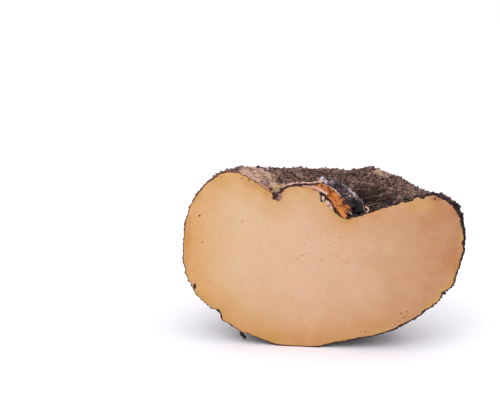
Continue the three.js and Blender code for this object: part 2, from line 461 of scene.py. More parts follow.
def cutFlat(block, place, facing):  # cuts off what lies beyond a plane, and gives the new face and its edges
    geometry = block.verts[:] + block.edges[:] + block.faces[:]
    cut = bmesh.ops.bisect_plane(block, geom=geometry, dist=1e-7, clear_outer=True,
                                 plane_co=place, plane_no=facing)
    loops = [item for item in cut["geom_cut"] if isinstance(item, bmesh.types.BMEdge)]
    for edge in loops:
        edge.smooth = False
    return bmesh.ops.holes_fill(block, edges=loops, sides=0)["faces"], loops


def evenOut(ring, rounds):  # smooths a closed run of vertices along itself
    for _ in range(rounds):
        after = ring[1:] + ring[:1]
        places = [(ring[at - 1].co + vert.co + after[at].co) / 3 for at, vert in enumerate(ring)]
        for vert, place in zip(ring, places):
            vert.co = place


def gridded(block, flesh):  # cuts the flesh into squares, so that it can swell
    for along, reach in corm["cutReach"].items():
        facing = cormTurn @ Vector(along)
        steps = int(reach / corm["cutGrid"])
        for step in range(-steps, steps + 1):
            geometry = list({part for one in flesh for part in (one, *one.edges, *one.verts)})
            place = stance["middle"] + facing * step * corm["cutGrid"]
            cut = bmesh.ops.bisect_plane(block, geom=geometry, dist=1e-7, plane_co=place, plane_no=facing)
            flesh = list({item for item in cut["geom"] if isinstance(item, bmesh.types.BMFace)})


# Divides the cut face into its skin and its flesh, with each place's distance to the rim and its blushes
def finishCut(block, faces, loops):
    rim, *blushes = addLayers(block, "rim", *corm["blushes"])
    tree = KDTree(len(loops))
    for index, edge in enumerate(loops):
        tree.insert((edge.verts[0].co + edge.verts[1].co) / 2, index)
    tree.balance()
    face = max(faces, key=lambda one: one.calc_area())
    for one in bmesh.ops.inset_region(block, faces=[face], thickness=corm["skin"])["faces"]:
        one.material_index = 2
    face.material_index = 1
    evenOut([loop.vert for loop in face.loops], corm["edgeRounds"])
    for edge in face.edges:
        edge.smooth = False
    gridded(block, [face])
    swell, within, waves = corm["swell"]
    for vert in {vert for one in block.faces if one.material_index == 1 for vert in one.verts}:
        _, _, away = tree.find(vert.co)
        vert[rim] = away / mm
        own = inCorm(vert.co)
        for layer, spots in zip(blushes, corm["blushes"].values()):
            vert[layer] = strongest(own.xz, spots, (1.25, 0.35), 0.3 * noise.noise(own / 3))
        if away > corm["skin"] * 1.2:
            height = swell * (1 - math.exp(-away / mm / within)) + layered(own, waves)
            vert.co += knifeSide * height * mm


# Corky skin of a dug corm: dry, dull and crumbly, netted with root threads, pale where it is rubbed, with
# painted shade in its hollows, round the bud and over the right end, and a painted highlight on its tops
def skinMaterial():
    material, tree, shader, point = newMaterial("corky yam skin", Roughness=0.95, Specular_IOR_Level=0.12)
    colour = stained(tree, point, linear("#604338"), [
        (38, 0.46, 0.6, 0.7, "#7d6350"), (28, 0.5, 0.62, 0.7, "#46302f"), (12, 0.5, 0.6, 0.6, "#301d1c"),
        (7, 0.54, 0.62, 0.65, "#93786e")])
    # painted shade in the skin's hollows and a painted highlight on its tops, both from its relief
    colour = tinted(tree, colour, "relief", 0.5, 0.05, 0.95, "#190d0c")
    colour = tinted(tree, colour, "relief", 0.85, 1.3, 0.65, "#9b7f71")
    colour = stained(tree, point, colour, [
        (3, 0.45, 0.52, 0.9, "#170b0b"), (2.2, 0.57, 0.64, 0.75, "#b48f7e")])
    threads = veined(tree, point, colour, [(9, 0.035, 0.6, "#b18a7e"), (5.5, 0.04, 0.4, "#805c54")])
    grains = stained(tree, point, threads, [
        (1.9, 0.56, 0.61, 0.7, "#a58477"), (2.6, 0.53, 0.58, 0.85, "#1e0e0d"),
        (1.4, 0.59, 0.66, 0.8, "#d0b2a4")])
    colour = tinted(tree, colour, "web", 0, 1, 1, grains)
    colour = tinted(tree, colour, "nodule", 0.2, 1, 0.4, "#92796c")
    colour = tinted(tree, colour, "scar", 0.2, 0.9, 0.6, "#ab9284")
    # painted shade, near black, in the hollow round the bud and over the right end
    colour = tinted(tree, colour, "crown", 0, 1, 0.85, "#0e0808")
    colour = stained(tree, point, colour, [
        (11, 0.5, 0.62, 0.3, "#281411"), (1.3, 0.57, 0.65, 0.75, "#231311"),
        (1, 0.62, 0.72, 0.65, "#d0b4a4")])
    peeled = stained(tree, point, linear("#bb9580"), [
        (9, 0.48, 0.6, 0.75, "#ac887e"), (4, 0.5, 0.62, 0.6, "#e2bd98"), (2.6, 0.56, 0.64, 0.6, "#7b5145"),
        (2, 0.52, 0.6, 0.5, "#a27f7d"), (1.4, 0.56, 0.66, 0.6, "#f0d6c5"), (1.2, 0.6, 0.66, 0.7, "#5c3a34")])
    colour = tinted(tree, colour, "bare", 0, 1, 1, peeled)
    tree.links.new(colour, shader.inputs["Base Color"])
    roughened(tree, point, shader, [(2.6, 1), (0.9, 0.5)])
    return material


flesh = {
    # from left to right, well inside and near the skin: shares of the way, and colours
    "heart": [(0, "#c99e6b"), (0.2, "#cdab87"), (0.45, "#cba789"), (0.62, "#c49e7d"), (0.8, "#ba8f69"),
              (0.9, "#ae7e55"), (1, "#a6744b")],
    "outer": [(0, "#c8975d"), (0.3, "#c69c6b"), (0.6, "#c2956b"), (0.8, "#b68a62"), (1, "#a97750")],
    "footShade": "#f8ead4",  # painted shade of its foot: multiplied in, it makes the flesh warmer and darker towards the floor
    "cortex": "#b78d49",
    "blushes": {"ochre": (0.8, "#b98f42"), "rust": (0.7, "#b57538"), "red": (0.8, "#9c5038")},
    "line": "#190b0d",  # along the rim, wider to the right and upwards
}


# Damp starchy flesh just cut with a knife: smooth, faintly see-through, yellower under the skin, with painted
# shade towards its foot
def fleshMaterial():
    material, tree, shader, point = newMaterial(
        "damp yam flesh", Roughness=0.5, Specular_IOR_Level=0.35, IOR=1.4,
        Subsurface_Weight=0.3, Subsurface_Radius=(1, 0.45, 0.2), Subsurface_Scale=2.2 * mm)
    across = addNode(tree, "SeparateXYZ", {"Vector": point}, "X")
    height = addNode(tree, "SeparateXYZ", {"Vector": point}, "Z")
    rim = addNode(tree, "Attribute", output="Fac", attribute_name="rim")
    wander = addNode(tree, "TexNoise", {"Vector": point, "Scale": 1 / 30, "Detail": 3})
    place = addNode(tree, "Math", {0: wander, 1: 60, 2: across}, operation="MULTIPLY_ADD")
    share = addNode(tree, "MapRange", {"Value": place, "From Min": -75, "From Max": 135})
    bands = []
    for stops in (flesh["heart"], flesh["outer"]):
        colour = linear(stops[0][1])
        for (start, _), (end, tint) in zip(stops, stops[1:]):
            colour = laidOver(tree, colour, share, start, end, 1, tint)
        bands.append(colour)
    soft = {"interpolation_type": "SMOOTHSTEP"}
    depth = addNode(tree, "MapRange", {"Value": rim, "From Min": 26, "From Max": 3}, **soft)
    colour = addNode(tree, "Mix", {0: depth, 6: bands[0], 7: bands[1]}, 2, data_type="RGBA")
    # painted shade: warmer and darker towards the flesh's foot
    low = addNode(tree, "MapRange", {"Value": height, "From Min": 44, "From Max": 6})
    colour = addNode(tree, "Mix", {0: low, 6: colour, 7: linear(flesh["footShade"])}, 2,
                     data_type="RGBA", blend_type="MULTIPLY")
    patches = addNode(tree, "TexNoise", {"Vector": point, "Scale": 1 / 17, "Detail": 2})
    cover = addNode(tree, "MapRange", {"Value": patches, "From Min": 0.42, "From Max": 0.6, "To Max": 0.8})
    near = addNode(tree, "MapRange", {"Value": rim, "From Min": 7, "From Max": 1.2}, **soft)
    cortex = addNode(tree, "Math", {0: cover, 1: near}, operation="MULTIPLY")
    colour = laidOver(tree, colour, cortex, 0, 1, 1, flesh["cortex"])
    for name, blush in flesh["blushes"].items():
        colour = tinted(tree, colour, name, 0, 1, *blush)
    colour = stained(tree, point, colour, [
        (12, 0.42, 0.66, 0.16, "#d4b297"), (5, 0.5, 0.7, 0.14, "#b78766"), (2.2, 0.5, 0.66, 0.14, "#b07c58"),
        (0.9, 0.54, 0.68, 0.17, "#a8745a")])
    rough = addNode(tree, "TexNoise", {"Vector": point, "Scale": 1 / 3.4, "Detail": 3})
    right = addNode(tree, "MapRange", {
        "Value": across, "From Min": 45, "From Max": 98, "To Min": 0.3, "To Max": 1.6})
    high = addNode(tree, "MapRange", {
        "Value": height, "From Min": 55, "From Max": 95, "To Min": 0.7, "To Max": 1.6})
    width = addNode(tree, "Math", {0: right, 1: high}, operation="MULTIPLY")
    reach = addNode(tree, "Math", {0: rough, 1: width}, operation="MULTIPLY")
    edge = addNode(tree, "Math", {0: rim, 1: reach}, operation="SUBTRACT")
    colour = laidOver(tree, colour, edge, 0.55, 0.2, 1, flesh["line"])
    tree.links.new(colour, shader.inputs["Base Color"])
    drag = addNode(tree, "Mapping", {"Vector": point, "Scale": (1 / 26, 1 / 26, 1 / 1.3)})
    streaks = addNode(tree, "TexNoise", {"Vector": drag, "Scale": 1, "Detail": 3})
    dragged = addNode(tree, "Bump", {"Height": streaks, "Distance": 0.1 * mm})
    starch = addNode(tree, "TexNoise", {"Vector": point, "Scale": 1 / 0.9, "Detail": 4})
    bump = addNode(tree, "Bump", {"Height": starch, "Distance": 0.12 * mm, "Normal": dragged})
    tree.links.new(bump, shader.inputs["Normal"])
    return material


def cutSkinMaterial():  # the skin's own thickness under the knife: dark cork, redder and patchy to the left
    material, tree, shader, point = newMaterial("cut yam skin", Roughness=0.85, Specular_IOR_Level=0.25)
    across = addNode(tree, "SeparateXYZ", {"Vector": point}, "X")
    colour = laidOver(tree, linear("#74442c"), across, -60, 30, 1, "#1c0e11")
    colour = stained(tree, point, colour, [(3.2, 0.58, 0.66, 0.45, "#8a5c38")])
    tree.links.new(colour, shader.inputs["Base Color"])
    roughened(tree, point, shader, [(0.9, 0.3)])
    return material


def makeCorm():
    block = fineCopy("corm_half", corm["voxel"], corm["overrun"])
    smoothed(block, corm["smoothings"])
    roughenSkin(block)
    cutFlat(block, Vector((0, 0, 0)), Vector((0, 0, -1)))
    finishCut(block, *cutFlat(block, stance["middle"], knifeSide))
    surface = BVHTree.FromBMesh(block)
    finished(block, "cormHalf", "corm", [skinMaterial(), fleshMaterial(), cutSkinMaterial()], ["corm_half"])
    return surface


cormSurface = makeCorm()
cormLow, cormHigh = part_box("corm_half")


# The bud

bud = {
    "voxel": 0.4 * mm,
    "flank": math.radians(35),  # slope that its fibres follow
    # sizes of the torn tissue's fibres and cracked clods, down the slope, back and out of it
    "fibre": (6, 2.2, 1.2),
    "fibreDepth": 0.9,
    "clod": (14, 6, 6),
    "crackDepth": 1.3,
    "rotten": (12.5, 17),  # places across, from and up to which it has rotted
    "knobSpacing": 2.1,  # of the scale's little knobs
    "knobHeight": 0.9,
    "foldDepth": 1.9,
    # round patches on the scale: where, from how far out to where each is full, and how ragged it is
    "hole": (Vector((22.5, 1, 46)), (8.5, 5), [(0.4, 2)]),  # where it has rotted through: sunk a little and painted near black as the shade inside the hole
    "holeDepth": 1.6,
    # a painted highlight on the scale's upper end
    "ridgeHighlight": (Vector((17, 6, 58)), (9, 3), [(0.6, 1.5)]),
}


def alongFlank(own):  # a place on the bud: down its slope, back, and square to the slope
    down = own.x * math.cos(bud["flank"]) - own.z * math.sin(bud["flank"])
    out = own.x * math.sin(bud["flank"]) + own.z * math.cos(bud["flank"])
    return Vector((down, own.y, out))


def grained(place, sizes):  # a place as the noise reads it, for a grain of these sizes
    return Vector([along / size for along, size in zip(place, sizes)])


def patchAt(own, middle, edge, ragged):  # how fully a round patch shows there
    return ease(*edge, (own - middle).length * (1 + layered(own, ragged)))


# Torn inner tissue of the bud: fibrous, half dry, orange, with rust-brown painted shade in its cracks and a
# painted highlight on its ridges
budTissue = plainMaterial(
    "torn bud tissue", "#b8682b",
    [(7, 0.45, 0.62, 0.8, "#d08238"), (2.6, 0.54, 0.66, 0.6, "#8f4519"), (1.1, 0.58, 0.68, 0.6, "#e8a660")],
    # painted shade in the cracks and a painted highlight on the ridges, both from the relief
    [("relief", 0, -0.7, 0.8, "#5c2811"), ("relief", 0.8, 1.2, 0.5, "#f2b970"),
     ("rotten", 0, 1, 0.95, "#1e1016")],
    [(1.3, 0.45), (0.5, 0.2)],
    Roughness=0.62, Specular_IOR_Level=0.4, Subsurface_Weight=0.12, Subsurface_Scale=1.5 * mm)
# Withered bud scale: leathery and knobbly, grey-purple, with painted shade between its knobs, a painted
# highlight on their tops and on its upper end, and painted shade in its hole
scaleBark = plainMaterial(
    "withered bud scale", "#382527",
    [(8, 0.48, 0.62, 0.6, "#553c3b"), (3, 0.48, 0.56, 0.85, "#1a0f13"), (1.3, 0.57, 0.65, 0.8, "#a88f90")],
    # painted shade between the knobs and a painted highlight on their tops, a painted highlight on the upper
    # end, and painted shade in the hole
    [("relief", 0.4, 0, 0.9, "#160c12"), ("relief", 0.8, 1.2, 0.8, "#ad979b"),
     ("ridgeHighlight", 0, 1, 0.85, "#bba8ad"), ("hole", 0.2, 0.8, 0.95, "#0d0809")],
    [(1.2, 0.4)], Roughness=0.7, Specular_IOR_Level=0.35)


def makeTissue():
    tissue = fineCopy("bud_tissue", bud["voxel"])
    smoothed(tissue, 3)
    relief, rotten = addLayers(tissue, "relief", "rotten")
    tissue.normal_update()
    for vert in tissue.verts:
        own = inCorm(vert.co)
        place = alongFlank(own)
        clods = noise.voronoi(grained(place, bud["clod"]))[0]
        crack = 1 - min((clods[1] - clods[0]) * 7, 1)
        vert[rotten] = ease(*bud["rotten"], own.x + 4 * noise.noise(own / 3))
        height = bud["fibreDepth"] * noise.noise(grained(place, bud["fibre"])) - bud["crackDepth"] * crack
        vert[relief] = 0.5 + height
        vert.co += vert.normal * height * mm
    finished(tissue, "budTissue", "bud_tissue", [budTissue], ["bud_tissue"])


def makeScale():
    scale = fineCopy("bud_scale", bud["voxel"])
    smoothed(scale, 12)
    relief, hole, ridgeHighlight = addLayers(scale, "relief", "hole", "ridgeHighlight")
    scale.normal_update()
    for vert in scale.verts:
        own = inCorm(vert.co)
        cells = noise.voronoi(own / bud["knobSpacing"])[0]
        knobs = bud["knobHeight"] * (1 - min(cells[0] * 1.5, 1) ** 2) * (0.6 + noise.noise(own / 3.1))
        folds = bud["foldDepth"] * noise.noise(alongFlank(own) / 5.5) - 0.3
        sunk = patchAt(own, *bud["hole"])
        vert[relief] = 0.3 + knobs + 0.3 * folds
        vert[hole] = sunk
        vert[ridgeHighlight] = patchAt(own, *bud["ridgeHighlight"])
        vert.co += vert.normal * (knobs + folds - bud["holeDepth"] * sunk) * mm
    finished(scale, "budScale", "papery_scale", [scaleBark], ["bud_scale"])


makeTissue()
makeScale()


# Torn skin and bits on the cut face

# Soil and rot: dark and crumbly
soil = plainMaterial("dark soil", "#241616", [(1.5, 0.5, 0.65, 0.7, "#46322e")])
# Inner side of torn skin, gone dark red-brown where it folds under; also laid as painted shadow under the lip
# and painted shade under the bud
foldedSkinAndShadow = plainMaterial("folded torn skin and painted shadow", "#40221d", [
    (1.6, 0.52, 0.64, 0.7, "#6e3d30"), (1.1, 0.52, 0.62, 0.85, "#180b0c")])
# The same skin's dried lip, pale and pinkish
tornSkin = plainMaterial("pale torn skin", "#c9a292", [
    (2.2, 0.5, 0.62, 0.7, "#95695c"), (0.9, 0.55, 0.66, 0.8, "#eaccb8"), (1.6, 0.62, 0.7, 0.8, "#553531")])
# Bruised skin curled into the crack, purple-pink
bruisedSkin = plainMaterial("bruised torn skin", "#94706b", [
    (1.6, 0.5, 0.6, 0.8, "#552f2d"), (1, 0.56, 0.66, 0.7, "#c9a9a0")])
# Skin rotted to violet
violetSkin = plainMaterial("violet rotted skin", "#241722", [
    (2, 0.5, 0.62, 0.7, "#402b3e"), (1.2, 0.56, 0.66, 0.7, "#120810")])
# Cortex dried yellow and olive under the torn skin
olive = plainMaterial("yellowed cortex", "#b19669", [
    (1.8, 0.48, 0.62, 0.8, "#776044"), (1, 0.55, 0.66, 0.7, "#d3bd94")])
# Cavity rotted to rust
rust = plainMaterial("rusty rot", "#5e2411", [(1.4, 0.5, 0.62, 0.7, "#30110c")])
# The bud's papery film: bleached and bluish
film = plainMaterial("papery film", "#b9b3bf", [
    (1.6, 0.48, 0.6, 0.8, "#8d8794"), (0.7, 0.55, 0.65, 0.7, "#e8e5ec")])
# Withered thread across the hole in the scale
deadThread = plainMaterial("dead thread", "#85777d", [(1.5, 0.5, 0.62, 0.6, "#5c4d53")])
# Vessels cut across, a little duller than the flesh
vessel = plainMaterial("cut vessel strands", "#b08364", [(2, 0.5, 0.62, 0.5, "#a67a5c")])
# Flesh blushed pink where it meets the bud
pinkFlesh = plainMaterial("pink flesh by the bud", "#c59175", [
    (4, 0.5, 0.64, 0.6, "#b87f68"), (2, 0.5, 0.64, 0.4, "#d0a284")])
# Flesh dried pale round the bud
lipFlesh = plainMaterial("dried lip of flesh", "#d3ad98", [
    (2.4, 0.5, 0.64, 0.7, "#b98d78"), (1, 0.56, 0.66, 0.7, "#e3cdbc")])

# The dried lip of the torn skin: its path, with its half thickness on the way
lipPath = [
    ((-6.9, 0.5, 62.4), 0.7), ((-8.8, 0.4, 61.7), 0.8), ((-12.1, 0.3, 60.4), 0.6), ((-15.8, 0.2, 59.6), 0.5),
    ((-23.1, 0.2, 58.9), 0.5), ((-28.2, 0.2, 57.8), 0.5), ((-32.5, 0.3, 56.2), 0.5),
    ((-35.4, 0.4, 54.4), 0.45), ((-38.2, 0.6, 52.6), 0.35),
]

# Cords along the mound's edge and over its crack: slot, material, how ruffled they are, and path
cords = {
    # dark red-brown skin folded into the crack, and along the mound's edge a dark line of painted shadow
    # under the lip
    "foldUnderSkinWithShadow": ("corm", foldedSkinAndShadow, 0.8, [
        ((-9.1, 0, 60.2), 0.45), ((-15.7, 0, 58.2), 0.5), ((-23, 0, 57.3), 0.6), ((-28.8, 0, 56), 0.65),
        ((-33.1, 0, 54), 0.6), ((-36.3, 0, 51.8), 0.65), ((-38.8, 0, 49), 0.8), ((-40, 0, 46.8), 1.1),
        ((-39.4, -0.2, 44.8), 1.3), ((-37.8, -0.2, 44.2), 0.9)]),
    "tornSkinLip": ("corm", tornSkin, 0.6, lipPath),
    "yellowCortex": ("corm", olive, 0.9, [
        ((-42.8, 0.4, 46.8), 0.7), ((-43.4, 1, 48.6), 0.8), ((-42.6, 1, 50.8), 0.8), ((-41, 0.9, 52.4), 0.9),
        ((-38.2, 1.2, 54.2), 1.1), ((-34.6, 1.6, 56.6), 0.8)]),
    "bruisedCurl": ("corm", bruisedSkin, 0.9, [
        ((-38.8, -0.8, 49.2), 0.4), ((-37.5, -1, 48), 0.8), ((-36.6, -1, 46.3), 1.1),
        ((-37.5, -1, 45.1), 1.1), ((-39, -0.8, 45.2), 0.6)]),
    "scaleSeam": ("papery_scale", tornSkin, 0.5, [
        ((-7.2, 0, 60), 0.4), ((-2.3, -0.5, 59), 0.45), ((2.4, -0.8, 57), 0.45), ((6.4, -0.9, 53.6), 0.4),
        ((9.5, -0.9, 50.2), 0.3)]),
    "fleshEdge": ("corm", pinkFlesh, 0.2, [
        ((-22, 0.5, 57), 0.8), ((-16, 0.9, 56.9), 1.3), ((-11.5, 1.4, 56.4), 1.9), ((-7.8, 1.6, 55.2), 2.1),
        ((-4.8, 1.1, 53.8), 1.5)]),
    # painted shadow: a dark cord just behind and below the dried lip
    "paintedShadowUnderLip": ("corm", foldedSkinAndShadow, 0.8, [
        ((x, y + 1.5, z - 0.9), half + 0.55) for (x, y, z), half in lipPath]),
    "tissueEdge": ("bud_tissue", budTissue, 0.8, [
        ((-2.6, -0.2, 51.8), 0.6), ((1.6, -0.5, 49.4), 1.2), ((4.2, -0.6, 46), 1.6),
        ((7.8, -0.6, 42.2), 1.8), ((11, -0.6, 38.8), 1.8), ((13.5, -0.5, 37.4), 1.2)]),
    # dark torn skin under the bud, laid also as painted shade of the gap between bud and flesh
    "shadedRimUnderBud": ("bud_tissue", foldedSkinAndShadow, 0.5, [
        ((-9, 0, 53.8), 0.5), ((-3.4, -0.4, 52.6), 0.7), ((-0.4, -0.4, 49.6), 0.6), ((2.2, -0.4, 45), 0.6),
        ((5.8, -0.4, 40.2), 0.65), ((10, -0.4, 37), 0.8), ((17, -0.3, 36.8), 1)]),
}

# Withered threads over the scale's hole: material and path
threads = {
    "budThread": (deadThread, [
        ((22.8, -0.6, 52.4), 0.18), ((24.6, -1.2, 49), 0.2), ((25.4, -1.3, 45.6), 0.2),
        ((27.2, -0.8, 42.4), 0.2)]),
    "budCurl": (tornSkin, [
        ((26.4, -0.6, 46.8), 0.5), ((28.6, -0.8, 46), 0.6), ((29, -0.8, 44), 0.6),
        ((27.6, -0.6, 42.6), 0.4)]),
}

# Lumps, piece by piece: slot, material, and where each lies, its size across, out of the face and up, and its
# turn in degrees, which is left to chance where there is none
lumps = {
    "driedLip": ("bud_tissue", lipFlesh, [
        ((-5.6, -0.5, 54.2), (8.5, 1.8, 1.9), 24), ((-5.2, -0.7, 49.4), (2.4, 2, 4.6), -12),
        ((-1.2, -0.2, 46.3), (4.2, 0.9, 3), 50), ((1.6, -0.2, 43.4), (3.6, 0.9, 2.4), 55)]),
    "rimCrumbs": ("corm", soil, [
        ((94.6, 0.6, 50.4), (3, 3, 3.6)), ((-5.2, 0.1, 49.6), (4.6, 1.8, 7.4)),
        ((38.4, 0.4, 49.2), (1.4, 1.6, 3)), ((44.4, 0.4, 50), (1.5, 1.6, 3)),
        ((33, 0.4, 46.4), (1.6, 1.6, 2.2)), ((53.5, 0.4, 55.7), (1.6, 1.4, 1.4)),
        ((57, 0.4, 55.4), (2, 1.4, 1.6)), ((60.4, 0.4, 55.3), (1.4, 1.4, 1.4)),
        ((49.4, 0.6, 52.6), (2, 1.8, 1.8)), ((27.3, 0.4, 43.2), (2.2, 1.6, 2)),
        ((24, 0.2, 39.8), (2.4, 1.4, 2)), ((100, 1, 37.6), (2.8, 3, 3.4)),
        ((94.2, 0.8, 54.3), (2.6, 2.6, 4.4), 0)]),
    "rustyCavity": ("corm", rust, [((-44.8, 3, 50), (4.4, 3, 4.6), -30)]),
    "ruddyLumps": ("corm", foldedSkinAndShadow, [
        ((42.5, 18, 51.2), (5, 5, 3), 286.479), ((46, 20, 52), (3.4, 3.4, 2.04), 194.806),
        ((38.5, 14, 50.2), (3, 3, 1.8), 171.887), ((55, 4.5, 55.2), (3, 3, 1.8), 171.887),
        ((76.4, 0, 58.8), (1.8, 1.8, 1.08), 103.132), ((80, 0, 58.6), (1.3, 1.3, 0.78), 74.485),
        ((-41, 0.1, 45.2), (3, 1.8, 3.4), -30), ((-38.2, -0.4, 46.6), (2.6, 1, 2.8), 0),
        ((-41.8, 0.8, 47.8), (3, 2.4, 3.6), -30), ((-48.4, 12, 53.4), (3.4, 3, 2), 17.189),
        ((8.2, -0.8, 51.6), (3.8, 1.4, 2.6), 40), ((10.8, -0.9, 48.2), (3, 1.4, 3.8), 20),
        ((-1, -0.4, 44), (1.3, 0.5, 0.9), 0)]),
    "bruisedLumps": ("corm", bruisedSkin, [
        ((-51, 6.4, 53), (7.5, 6.5, 6), 0), ((-47, 6, 50.6), (3, 3, 2.4), 0),
        ((1, -0.9, 45.6), (2, 1.2, 2.2), 0)]),
    "violetClump": ("corm", violetSkin, [
        ((47.2, 10, 52), (8, 6, 4), -20), ((43, 8, 50), (4, 4, 3), 0)]),
    "scaleShreds": ("papery_scale", scaleBark, [
        ((13.4, -0.9, 48.4), (4.5, 1.8, 2.4), 48), ((16.5, -0.9, 46.8), (4, 2, 3.2), 20),
        ((19.6, -0.6, 39.4), (5, 1.6, 2), -12)]),
    "paleScraps": ("papery_scale", film, [
        ((15.5, -0.6, 41.3), (1.1, 0.6, 0.8), 168.085), ((17, -0.6, 40.2), (1.1, 0.6, 0.8), 254.028),
        ((0.8, -0.6, 47.2), (1.1, 0.6, 0.8), 45.837), ((-2.6, -0.6, 48.2), (1.1, 0.6, 0.8), -148.969),
        ((-51.4, 37, 58), (2.2, 2.4, 3.6), 0)]),
}

torn = {
    "ruffles": [(1, 2.4), (0.6, 0.9)],  # on the cords
    # the papery film on the scale's end, and how its edge and its middle are crumpled
    "film": {"middle": (-5, 0.4, 62.7), "size": (8.5, 3.4), "turn": math.radians(18), "tip": math.radians(62),
             "squares": (22, 14), "edge": 0.35, "folds": 0.9, "creases": 0.35, "bow": 0.05,
             "thickness": 0.15 * mm},
    # dark specks on the flesh: where, how wide and how high
    "specks": [
        ((-95.5, 25), 1.3, 1.5), ((-91.8, 5.1), 0.9, 0.9), ((-81.8, 56.4), 0.8, 0.8),
        ((-63.1, 24.5), 0.9, 0.9), ((-94.4, -29.6), 2.6, 4.2), ((36.8, -48.6), 1, 1),
        ((46.4, -44), 0.7, 0.7), ((61.7, -31.2), 1.1, 0.8), ((64.2, -34.1), 0.9, 1.1),
        ((60.1, -37.7), 0.9, 0.8), ((66, -29.2), 1.2, 0.7), ((58.1, -40.3), 0.8, 0.7),
        ((-96.7, -17.3), 0.6, 0.6), ((-70.3, -12), 0.6, 0.6), ((-66.5, 57.1), 1.2, 0.8),
        ((-61.3, 56.7), 1.4, 0.9), ((-56.4, 55.6), 1.1, 0.9), ((-74.6, -46.6), 2, 2.8),
        ((-72.3, -50.6), 1.3, 4.6), ((91, -11.8), 3.4, 2.2), ((100.2, 27.6), 1.8, 1.6),
    ],
    # strands of vessels in the middle of the flesh: how many, from where to where, how long, and their turn
    "dashes": {"count": 26, "across": (-27, 31), "up": (0, 26), "length": (0.8, 2.8), "turn": (-60, 10)},
    # a pore and three plainer strands, told as the lumps are
    "plainDashes": [
        ((-91, -0.36, -34.2), (1.1, 0.2, 1.1), 0), ((-19.5, -0.36, 1.6), (3.6, 0.2, 0.34), -32),
        ((-15.5, -0.36, 4.2), (3.6, 0.2, 0.34), -32), ((-11.5, -0.36, 6.6), (3.6, 0.2, 0.34), -32),
    ],
    "anyTurn": (-0.5, 0.5),  # of specks and crumbs, in radians
    "ragged": 0.22,  # how ragged the lumps and specks are
}


def bit(block, own, size, turn):  # a crumb pressed flat on the cut face
    place = Matrix.Translation(fromCorm(*own)) @ cormTurn.to_4x4() @ Matrix.Rotation(turn, 4, "Y")
    shape = place @ Matrix.Diagonal([side * mm / 2 for side in size] + [1])
    for vert in bmesh.ops.create_icosphere(block, subdivisions=2, radius=1, matrix=shape)["verts"]:
        ragged = noise.noise_vector(vert.co / (0.9 * mm))
        vert.co += Vector([way * side for way, side in zip(ragged, size)]) * torn["ragged"] * mm


def laidOut(path):  # a path on the cut face, in the scene
    return [(fromCorm(*own), half * mm) for own, half in path]


def makeCord(name, slot, material, ruffle, path):  # a ragged cord laid along a path
    cord = sweep([laidOut(path)], 3)
    bmesh.ops.subdivide_edges(cord, edges=cord.edges, cuts=5, use_grid_fill=True)
    smoothed(cord, 4)
    cord.normal_update()
    for vert in cord.verts:
        vert.co += vert.normal * ruffle * layered(inCorm(vert.co), torn["ruffles"]) * mm
    finished(cord, name, slot, [material])


def makeFilm():
    paper = torn["film"]
    across, along = paper["squares"]
    sheet = bmesh.new()
    place = Matrix.Translation(fromCorm(*paper["middle"])) @ cormTurn.to_4x4()
    place = place @ Matrix.Rotation(paper["turn"], 4, "Y") @ Matrix.Rotation(paper["tip"], 4, "X")
    flat = Matrix.Diagonal((*paper["size"], 1, 1))
    bmesh.ops.create_grid(sheet, x_segments=across, y_segments=along, size=0.5, matrix=flat)
    for vert in sheet.verts:
        x, y = vert.co.x, vert.co.y
        edge = 1 + paper["edge"] * noise.noise(Vector((x / 2, y / 2, 3)))
        folds = paper["folds"] * noise.noise(Vector((x / 2.6, y / 2.2, 0)))
        height = folds + paper["creases"] * noise.noise(Vector((x, y, 5))) - paper["bow"] * x * x
        vert.co = place @ (Vector((x * edge, y * edge, height)) * mm)
    bmesh.ops.solidify(sheet, geom=sheet.faces[:], thickness=paper["thickness"])
    finished(sheet, "paperyFilm", "papery_scale", [film])


def makeLumps(name, slot, material, told):  # a piece of lumps, with its material; its slot is not used
    block = bmesh.new()
    for own, size, *turn in told:
        bit(block, own, size, math.radians(*turn) if turn else chance.uniform(*torn["anyTurn"]))
    finished(block, name, slot, [material])


def scatteredDashes():  # vessels cut across, told as the lumps are
    dashes = torn["dashes"]
    for _ in range(dashes["count"]):
        x, z = chance.uniform(*dashes["across"]), chance.uniform(*dashes["up"])
        size = (chance.uniform(*dashes["length"]), 0.2, 0.34)
        yield (x, -0.36, z), size, chance.uniform(*dashes["turn"])


for name, told in cords.items():
    makeCord(name, *told)
makeFilm()
makeLumps("fleshSpecks", "corm", soil, [
    ((x, -0.32, z), (wide, 0.5, high)) for (x, z), wide, high in torn["specks"]])
makeLumps("vesselDashes", "corm", vessel, [*scatteredDashes(), *torn["plainDashes"]])
for name, told in lumps.items():
    makeLumps(name, *told)
for name, (material, path) in threads.items():
    finished(sweep([laidOut(path)], 1), name, "papery_scale", [material])


# Roots and fibres

dryRoots = {
    "nodes": ["crown_root_long", "crown_root_short", "rim_root_stub", "base_root_stub",
              "side_root_right", "side_root_back", "side_root_left"],
    "voxel": 0.32 * mm,
    "shrinkings": 14,
    "shrivel": 0.9,  # how far the thin stretches shrink
    "stretch": 9 * mm,  # length of the thin stretches
    "wrinkles": [(0.22, 1.3 * mm), (0.1, 0.6 * mm)],
    # these are caked with soil: how much thicker, and how far they are broken back
    "stubs": {"rim_root_stub": (0.1, 0.4), "base_root_stub": (0.5, 0)},
    "rooted": (1.6, 0.7),  # distances from the skin over which they run into it
}
fibres = {
    "count": 260,
    "above": 0.75,  # share of them that start on top
    "length": (7, 26),
    "radius": (0.12, 0.32),
    "thickness": (0.75, 1.15),  # as a share of it
    "lift": (0.5, 1.6),  # off the skin, in radii
    "step": 1.4,
    "curl": 0.5,  # turn at each step, in radians
    "fewest": 3,  # steps
}
cutMargin = 1.5  # how near the cut and the floor fibres and crumbs come

